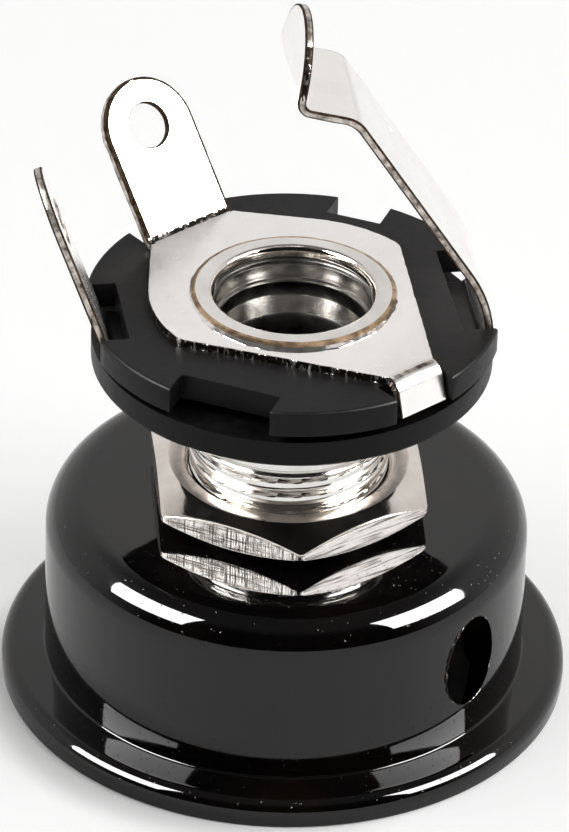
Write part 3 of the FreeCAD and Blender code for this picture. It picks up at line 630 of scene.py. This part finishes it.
def makeNut(name, bottom, node):
    fall = math.tan(math.radians(nut["slope"]))
    top = nut["thick"]

    def cone(share, drop=0.0, inset=0.0):
        def ring(angle):
            edge = nutRadius(angle) - inset
            radius = nut["face"] + 0.05 + (edge - nut["face"] - 0.05) * share
            return radius, top - (radius - nut["face"]) * fall - drop
        return ring

    def side(share):
        def ring(angle):
            edge = nutRadius(angle)
            upper = top - (edge - nut["face"]) * fall - 0.06
            return edge, upper + (top - 2 * upper) * share
        return ring

    def flipped(ring):
        def other(angle):
            radius, height = ring(angle)
            return radius, top - height
        return other

    mouth = nut["bore"] + nut["boreChamfer"]
    upper = fixedRings([
        (nut["bore"], top - nut["boreChamfer"]), (mouth - 0.03, top - 0.02),
        (mouth + 0.03, top), (nut["face"] - 0.05, top)])
    upper.append(cone(0.0))
    upper += [cone(share / 6) for share in range(1, 6)]
    upper += [cone(1.0, 0, 0.06), cone(1.0, 0.012, 0.018)]
    rings = upper + [side(share / 6) for share in range(7)] + [flipped(ring) for ring in reversed(upper)]
    mesh = turnedGrid(name, rings, nut["steps"])
    for face in mesh.polygons:
        ring = face.index // nut["steps"]
        if len(upper) <= ring < len(upper) + 6:
            flat = round((face.index % nut["steps"]) * 6 / nut["steps"]) % 6
            face.material_index = 1 + flat % 2
        elif 1 <= ring < 4:
            face.material_index = 3
    turn = Matrix.Rotation(math.radians(nut["turn"]), 4, "Z")
    mesh.transform(Matrix.Translation((0, 0, bottom * mm)) @ turn)
    mesh.flip_normals()
    piece = newObject(name, mesh, [nickelNut, crossedFlat, groundFlat, turnedFace])
    smoothBy(piece, 28)
    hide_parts(node)
    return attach(piece, "jack")


washer = {
    "inner": 4.88, "outer": 6.6, "bottom": 7.82, "top": 8.32, "innerRound": 0.05, "outerRound": 0.08,
    "steps": 144,
}


def makeWasher():
    w = washer
    loop = roundedLoop([
        (w["inner"], w["bottom"], w["innerRound"]), (w["outer"], w["bottom"], w["outerRound"]),
        (w["outer"], w["top"], w["outerRound"]), (w["inner"], w["top"], w["innerRound"])])
    mesh = turnedGrid("frontWasher", fixedRings(loop), w["steps"])
    piece = newObject("frontWasher", mesh, [nickelNut])
    smoothBy(piece, 32)
    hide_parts("front_washer")
    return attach(piece, "jack")


makeNut("rearNut", nut["rearBottom"], "rear_nut")
makeNut("frontNut", nut["frontBottom"], "front_nut")
makeWasher()
print("nuts ready")


disc = {"edgeRound": 0.05, "outerReach": 9.65, "steepest": 0.3, "lowerShade": 19.5, "upperShade": 19.35}


def makeInsulator(name, node, shadedBelow):
    # painted shade: everything deep in the notches stays black; steep faces inside the outer rim, such as the
    # notch walls and the lower disc's side, and faces below the given height get the darker shaded fibre
    piece = copyNode(name, node, [fibre, paintedShadeFibre])
    bevelEdges(piece, disc["edgeRound"], 2, 35)
    for face in piece.data.polygons:
        reach = math.hypot(face.center.x, face.center.y) / mm
        wall = abs(face.normal.z) < disc["steepest"] and reach < disc["outerReach"]
        face.material_index = 1 if wall or face.center.z / mm < shadedBelow else 0
    smoothBy(piece, 30)
    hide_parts(node)
    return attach(piece, "jack")


makeInsulator("lowerDisc", "base_insulator", disc["lowerShade"])
makeInsulator("upperDisc", "top_insulator", disc["upperShade"])
print("insulators ready")


sheet = 0.4
# faces, sheared sides, their dark corners, torn flank, black fibre for painted shade
sheetLooks = [tinSheet, sheetEdge, darkCornerEdge, torn, fibre]


def stripPath(start, heading, moves):
    # points (place, direction, move number) along one face of the sheet
    place = Vector(start)
    angle = math.radians(heading)
    out = [(place.copy(), angle, 0)]
    for number, (kind, first, second) in enumerate(moves):
        if kind == "run":
            parts = max(1, round(first / 0.5))
            ahead = Vector((math.cos(angle), math.sin(angle)))
            for k in range(1, parts + 1):
                out.append((place + ahead * first * k / parts, angle, number))
            place = out[-1][0].copy()
        else:
            bend = math.radians(second)
            side = math.copysign(1, bend)
            centre = place + Vector((-math.sin(angle), math.cos(angle))) * first * side
            parts = max(4, round(abs(second) / 5))
            for k in range(1, parts + 1):
                here = angle + bend * k / parts
                out.append((centre - Vector((-math.sin(here), math.cos(here))) * first * side, here, number))
            angle += bend
            place = out[-1][0].copy()
    return out


stripEdge = 0.09
stripLoop = 20  # points round the sheet at each station, 5 at each corner
stripParts = {
    3: "stripe", 4: "face", 5: "stripe", 9: "side", 13: "farRight", 14: "farFace", 15: "farLeft", 19: "side",
}


def stripMesh(name, path, turn, width, side=1, roundTip=False, rough=0.0, paint=None):
    # sheet laid to one side of the path, with rounded corners, its end square or half round
    lengths = [0.0]
    for a, b in zip(path, path[1:]):
        lengths.append(lengths[-1] + (b[0] - a[0]).length)
    total = lengths[-1]
    half = width / 2
    stations = []
    for (point, angle, number), run in zip(path, lengths):
        if not roundTip or run < total - half - 0.05:
            stations.append((point, angle, number, 0.0))
    if roundTip:
        for k in range(37):
            swing = math.radians(88) * k / 36
            run = total - half + half * math.sin(swing)
            i = max(j for j in range(len(lengths) - 1) if lengths[j] <= run)
            share = min(1.0, (run - lengths[i]) / max(1e-9, lengths[i + 1] - lengths[i]))
            point = path[i][0].lerp(path[i + 1][0], share)
            angle = path[i][1] + (path[i + 1][1] - path[i][1]) * share
            stations.append((point, angle, path[i + 1][2], swing))
    edge = stripEdge
    points = []
    turnBy = Matrix.Rotation(math.radians(turn), 3, "Z")
    for s, (point, angle, number, tip) in enumerate(stations):
        ahead = Vector((math.cos(angle), math.sin(angle)))
        normal = Vector((-math.sin(angle), math.cos(angle))) * side
        for sign, far in ((-1, False), (1, False), (1, True), (-1, True)):
            toFace = (sign > 0) == far  # this corner is walked from the side to the face
            for k in (0, 1, 2, 3, 4) if toFace else (4, 0, 1, 2, 3):
                swing = math.radians(30 * k)
                level = math.cos(swing) if toFace else math.sin(swing)
                fall = math.sin(swing) if toFace else math.cos(swing)
                if k == 4:  # line on the face beside the corner
                    level, fall = -0.8 - (1.2 * math.cos(tip) if toFace else 0), 1.0
                inset = edge * (1 - level)
                across = sign * (half - inset) * math.cos(tip)
                depth = edge - edge * fall
                depth = sheet - depth if far else depth
                seed = Vector((point.x * 2.3 + s * 0.3, across * 2, point.y * 2.3 + depth * 5))
                jag = rough * noise.noise(seed)
                at = point + normal * depth - ahead * inset * math.sin(tip)
                points.append(turnBy @ Vector((at.x, across + (jag if level > 0.3 else 0), at.y)))
    count = stripLoop
    faces = []
    looks = []
    for s in range(len(stations) - 1):
        faces += bandFaces(s, s + 1, count)
        for k in range(count):
            part = stripParts.get(k, "corner")
            look = {"side": 1, "corner": 2}.get(part, 0)
            looks.append(paint(stations[s + 1], part, look) if paint else look)
    faces.append(tuple(reversed(range(count))))
    looks.append(1)
    last = (len(stations) - 1) * count
    for first in (0, 10):
        for k in range(4):  # the end is closed in bands that follow the corners
            band = (first + k, first + k + 1, (first + 8 - k) % count, (first + 9 - k) % count)
            faces.append(tuple(last + n for n in band))
            looks.append(0 if k == 3 else 2)
    faces.append((last + 9, last + 10, last + 19, last))
    looks.append(1)
    mesh = buildMesh(name, points, faces)
    for face, look in zip(mesh.polygons, looks):
        face.material_index = look
    outwardNormals(mesh)
    return mesh


def drillEyelet(mesh, turn, lean, tip, inset, look, radius=1.1):
    # hole square through a lug
    heading = Matrix.Rotation(math.radians(turn), 3, "Z")
    along = heading @ Vector((math.sin(lean), 0, math.cos(lean)))
    through = heading @ Vector((math.cos(lean), 0, -math.sin(lean)))
    middle = heading @ Vector((tip[0], 0, tip[1])) - along * inset
    outline = [(radius + 0.32, -0.65), (radius, -0.33), (radius, -0.07), (radius + 0.32, 0.25)]
    drill = turnedCutter("eyeletDrill", outline, 64)
    turnTo = through.to_track_quat("Z", "Y").to_matrix().to_4x4()
    drill.transform(Matrix.Translation(middle * mm) @ turnTo)
    piece = looseObject("lug", mesh, sheetLooks)
    cutAway(piece, looseObject("eyeletDrill", drill))
    for face in piece.data.polygons:
        away = face.center / mm - middle
        if abs(face.normal.dot(through)) < 0.9 and (away - through * away.dot(through)).length < radius + 0.1:
            face.material_index = look
    drilled = piece.data
    bpy.data.objects.remove(piece)
    return drilled


tipSpring = {
    "turn": 8, "width": 6.3, "ringBottom": 18.95, "reach": 8.35, "bend": 0.75, "rise": 0.1,
    "rootBend": 6.8, "slope": 33, "slopeLength": 9.7, "kneeBend": 1.6, "kneeAngle": 42.5, "seat": 1.65,
    "foldBend": 0.4, "foldAngle": 86.5, "leaf": 2.945,
    "start": 7.06, "shadeTop": 19.3, "tornFrom": 33.4, "tornTo": 35.5, "leafMove": 7,
    "blendLow": (9.0, 0, 19.7), "blendHigh": (8.8, 0, 23.0),
}


def paintedShadeRoot(station, part, look):
    # painted shade: the root, in shadow between the discs, gets the black fibre look
    return 4 if station[0].y < tipSpring["shadeTop"] else look


def springPaint(station, part, look):
    if station[2] >= tipSpring["leafMove"] and part == "side":
        return 3 if tipSpring["tornFrom"] < station[0].y < tipSpring["tornTo"] else 1
    return paintedShadeRoot(station, part, look)


def makeTipSpring():
    t = tipSpring
    path = stripPath((t["start"], t["ringBottom"]), 0, [
        ("run", t["reach"] - t["start"], None), ("bend", t["bend"], 90), ("run", t["rise"] + 0.02, None),
        ("bend", t["rootBend"], t["slope"]), ("run", t["slopeLength"], None),
        ("bend", t["kneeBend"], t["kneeAngle"]), ("run", t["seat"], None),
        ("bend", t["foldBend"], -t["foldAngle"]), ("run", t["leaf"], None)])
    mesh = stripMesh("tipSpring", path, t["turn"], t["width"], 1, True, 0.06, springPaint)
    piece = newObject("tipSpring", mesh, sheetLooks)
    smoothBy(piece, 40)
    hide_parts("tip_spring_arm")
    heading = Matrix.Rotation(math.radians(t["turn"]), 3, "Z")
    low = heading @ Vector(t["blendLow"])
    high = heading @ Vector(t["blendHigh"])
    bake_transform(piece, "jack", "spring_arm", start=tuple(low * mm), end=tuple(high * mm))


tipLug = {
    "turn": -170, "width": 4.6, "reach": 8.5, "bend": 0.75, "lean": 19.2, "length": 9.35, "inset": 2.8,
    "start": 6.8, "ringInner": 5.5, "ringOuter": 7.0, "ringRound": 0.06, "ringSteps": 144,
}


def makeTipContact():
    t = tipLug
    bottom = tipSpring["ringBottom"]
    path = stripPath((t["start"], bottom), 0, [
        ("run", t["reach"] - t["start"], None), ("bend", t["bend"], 90 - t["lean"]),
        ("run", t["length"], None)])
    lug = stripMesh("tipLug", path, t["turn"], t["width"], 1, True, 0.06, paintedShadeRoot)
    lug = drillEyelet(lug, t["turn"], math.radians(t["lean"]), path[-1][0], t["inset"], 1)
    corners = [(t["ringInner"], bottom), (t["ringOuter"], bottom), (t["ringOuter"], bottom + sheet),
               (t["ringInner"], bottom + sheet)]
    loop = roundedLoop([(radius, height, t["ringRound"]) for radius, height in corners])
    ring = turnedGrid("tipRing", fixedRings(loop), t["ringSteps"])
    outwardNormals(ring)
    # painted shade: the ring between the discs is all black fibre
    for face in ring.polygons:
        face.material_index = 4
    piece = newObject("tipContact", joinMeshes("tipContact", [lug, ring]), sheetLooks)
    smoothBy(piece, 40)
    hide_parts("tip_contact")
    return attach(piece, "jack")


sleeve = {
    "turn": 131.4, "bottom": 20.7, "radius": 6.85, "shoulder": 50, "corner": 88.5, "round": 0.8, "hole": 4.33,
    "lugWidth": 5.1, "lugReach": 7.5, "bend": 0.75, "lean": 37, "length": 7.35, "inset": 2.35,
    "tabWidth": 2.8, "tabReach": 8.35, "tabAngle": 76, "tabLength": 1.2, "drill": (18, 24),
}
# (inset, height above the plate's foot, share of the ragged shift)
plateLevels = [(0.02, 0.0, 0), (0.0, 0.05, 1), (0.0, 0.14, 1), (0.0, 0.22, 1), (0.0, 0.29, 1), (0.0, 0.345, 1),
               (0.03, 0.385, 0.5), (0.08, 0.4, 0)]


def plateMesh():
    # outline walked round, its flank ragged where the shears tore it
    s = sleeve
    arc = [math.radians(s["shoulder"] + (s["corner"] - s["shoulder"]) * k / 8) for k in range(9)]
    upper = [(s["lugReach"], s["lugWidth"] / 2, 0)]
    upper += [(s["radius"] * math.cos(a), s["radius"] * math.sin(a), 0) for a in arc[:-1]]
    upper.append((s["radius"] * math.cos(arc[-1]), s["radius"] * math.sin(arc[-1]), s["round"]))
    upper.append((-s["tabReach"], s["tabWidth"] / 2, 0))
    corners = upper + [(x, -y, r) for x, y, r in reversed(upper)]
    loop = roundedLoop(corners, 0.09)
    points = []
    for inset, rise, ragged in plateLevels:
        for i, (x, y) in enumerate(loop):
            px, py = loop[i - 1]
            nx, ny = loop[(i + 1) % len(loop)]
            outward = Vector((ny - py, px - nx)).normalized()
            if outward.dot(Vector((x, y))) < 0:
                outward = -outward
            wave = noise.noise(Vector((x * 2.1, y * 2.1, rise * 4)))
            fine = noise.noise(Vector((x * 8, y * 8, rise * 9)))
            jag = wave * 0.04 + fine * 0.025
            shift = -inset + ragged * (jag - 0.03)
            height = s["bottom"] + rise + ragged * 0.4 * jag
            points.append((x + outward.x * shift, y + outward.y * shift, height))
    count = len(loop)
    faces = []
    looks = []
    last = len(plateLevels) - 1
    for level in range(last):
        faces += bandFaces(level, level + 1, count)
        looks += [3 if level < 6 else 0] * count
    faces.append(tuple(reversed(range(count))))
    faces.append(tuple(range(last * count, (last + 1) * count)))
    mesh = buildMesh("sleevePlate", points, faces)
    for face, look in zip(mesh.polygons, looks):
        face.material_index = look
    outwardNormals(mesh)
    mesh.transform(Matrix.Rotation(math.radians(s["turn"]), 4, "Z"))
    piece = looseObject("sleevePlate", mesh, sheetLooks)
    drill = turnedCutter("neckHole", [(s["hole"], height) for height in s["drill"]], 96)
    cutAway(piece, looseObject("neckHole", drill))
    mesh = piece.data
    bpy.data.objects.remove(piece)
    return mesh


def lugPaint(station, part, look):
    # torn crease in the inner bend, dark line up the left edge
    if station[2] == 1 and part.startswith("far"):
        return 3
    return 2 if part in ("farRight", "farLeft") else look


def tabPaint(station, part, look):
    # the tab's bend is dull and brown
    return 1 if station[2] == 1 and part == "face" and math.degrees(abs(station[1])) < 24 else look


def makeSleeveTerminal():
    s = sleeve
    path = stripPath((s["lugReach"] - 0.1, s["bottom"]), 0, [
        ("run", 0.1, None), ("bend", s["bend"], 90 - s["lean"]), ("run", s["length"], None)])
    lug = stripMesh("sleeveLug", path, s["turn"], s["lugWidth"], 1, True, 0.05, lugPaint)
    lug = drillEyelet(lug, s["turn"], math.radians(s["lean"]), path[-1][0], s["inset"], 2)
    tabPath = stripPath((s["tabReach"] - 0.1, s["bottom"] + sheet), 0, [
        ("run", 0.1, None), ("bend", s["bend"], -s["tabAngle"]), ("run", s["tabLength"], None)])
    tab = stripMesh("sleeveTab", tabPath, s["turn"] - 180, s["tabWidth"], -1, False, 0.16, tabPaint)
    mesh = joinMeshes("sleeveTerminal", [plateMesh(), lug, tab])
    piece = newObject("sleeveTerminal", mesh, sheetLooks)
    smoothBy(piece, 40)
    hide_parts("sleeve_terminal")
    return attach(piece, "jack")


makeTipSpring()
makeTipContact()
makeSleeveTerminal()
print("contacts ready")


# the reach is in millimetres, the other places are in metres, as the shader reads them
ground = {
    "reach": 4000, "paintedShadowCentre": (-0.0018, -0.0018, 0), "darkTo": 0.0116, "paleFrom": 0.0138, "glow": 0.32,
}


def makeFloor():
    # the glow whitens the floor for the eye and for reflections; it fades out under the cup and round a centre
    # moved to the front-left, a painted shadow beside the flange at the lower left over the real contact
    # shadow
    far = ground["reach"]
    mesh = buildMesh("floor", [(-far, -far, 0), (far, -far, 0), (far, far, 0), (-far, far, 0)], [(0, 1, 2, 3)])
    floor = looseObject("floor", mesh)
    material = bpy.data.materials.new("paleFloor")
    material.use_nodes = True
    tree = material.node_tree
    tree.nodes.clear()
    output = addNode(tree, "ShaderNodeOutputMaterial")
    diffuse = addNode(tree, "ShaderNodeBsdfDiffuse", inputs={"Color": (0.8, 0.8, 0.8, 1)})
    glow = addNode(tree, "ShaderNodeEmission", inputs={"Color": (1, 1, 1, 1)})
    place = addNode(tree, "ShaderNodeTexCoord")
    away = addNode(tree, "ShaderNodeVectorMath", {"operation": "DISTANCE"}, {
        0: place.outputs["Object"], 1: ground["paintedShadowCentre"]})
    fade = smoothRange(tree, away.outputs["Value"], ground["darkTo"], ground["paleFrom"], 0.0, ground["glow"])
    tree.links.new(fade, glow.inputs["Strength"])
    both = addNode(tree, "ShaderNodeAddShader")
    tree.links.new(diffuse.outputs[0], both.inputs[0])
    tree.links.new(glow.outputs[0], both.inputs[1])
    path = addNode(tree, "ShaderNodeLightPath")
    seen = mathNode(tree, "MAXIMUM", path.outputs["Is Camera Ray"], path.outputs["Is Glossy Ray"])
    seen = mathNode(tree, "MAXIMUM", seen, path.outputs["Is Transmission Ray"])
    choose = addNode(tree, "ShaderNodeMixShader", inputs={"Fac": seen})
    tree.links.new(diffuse.outputs[0], choose.inputs[1])
    tree.links.new(both.outputs[0], choose.inputs[2])
    tree.links.new(choose.outputs[0], output.inputs["Surface"])
    mesh.materials.append(material)


def makeLamp(name, power, size, azimuth, elevation, distance, roll=0.0, diffuse=True, glossy=True):
    # azimuth from the camera's side (-Y), positive to the right; aims at the object's middle
    lamp = bpy.data.lights.new(name, "AREA")
    lamp.shape = "RECTANGLE"
    lamp.size, lamp.size_y = size
    lamp.energy = power
    holder = bpy.data.objects.new(name, lamp)
    scene.collection.objects.link(holder)
    a, e = math.radians(azimuth), math.radians(elevation)
    aim = Vector((0, 0, 0.012))
    offset = Vector((math.sin(a) * math.cos(e), -math.cos(a) * math.cos(e), math.sin(e))) * distance
    turn = (-offset).to_track_quat("-Z", "Y").to_matrix().to_4x4()
    twist = Matrix.Rotation(math.radians(roll), 4, "Z")
    holder.matrix_world = Matrix.Translation(aim + offset) @ turn @ twist
    holder.visible_diffuse = diffuse
    holder.visible_glossy = glossy
    holder.visible_camera = False


studio = {
    "back": 0.86, "front": 0.01, "top": 0.16, "depth": (-0.6, 0.35), "rise": (0.62, 0.9),
    "colour": (1.0, 0.985, 0.975, 1),
}


def makeWorld():
    # bright behind the object, dark behind the camera, dim overhead
    world = bpy.data.worlds.new("studio")
    scene.world = world
    world.use_nodes = True
    tree = world.node_tree
    tree.nodes.clear()
    output = addNode(tree, "ShaderNodeOutputWorld")
    place = addNode(tree, "ShaderNodeTexCoord")
    parts = addNode(tree, "ShaderNodeSeparateXYZ", inputs={"Vector": place.outputs["Generated"]})
    depth = smoothRange(tree, parts.outputs["Y"], *studio["depth"], studio["front"], studio["back"])
    rise = smoothRange(tree, parts.outputs["Z"], *studio["rise"], 0.0, 1.0)
    level = addNode(tree, "ShaderNodeMix", {"data_type": "FLOAT"}, {0: rise, 2: depth, 3: studio["top"]})
    shade = addNode(tree, "ShaderNodeBackground", inputs={
        "Color": studio["colour"], "Strength": level.outputs[0]})
    tree.links.new(shade.outputs[0], output.inputs["Surface"])


makeFloor()
makeWorld()
makeLamp("leftSoftbox", 7.0, (0.28, 0.22), -71, 37, 0.42, 14, diffuse=False)
makeLamp("rightSoftbox", 7.0, (0.28, 0.22), 75, 36, 0.42, -14, diffuse=False)
makeLamp("leftFill", 0.55, (0.30, 0.22), -70, 50, 0.45, glossy=False)
makeLamp("rightFill", 1.0, (0.30, 0.22), 70, 50, 0.45, glossy=False)

view = {"eye": (-0.25178, -244.29109, 173.53597), "down": 33.12054, "roll": 1.71267, "lens": 265.248}
lens = bpy.data.cameras.new("camera")
lens.lens = view["lens"]
lens.sensor_width = 36
lens.clip_start = 0.01
lens.clip_end = 50
camera = bpy.data.objects.new("camera", lens)
scene.collection.objects.link(camera)
camera.matrix_world = (Matrix.Translation(Vector(view["eye"]) * mm)
                       @ Matrix.Rotation(math.radians(90 - view["down"]), 4, "X")
                       @ Matrix.Rotation(math.radians(view["roll"]), 4, "Z"))
scene.camera = camera
scene.view_settings.view_transform = "Standard"
print("stage ready")
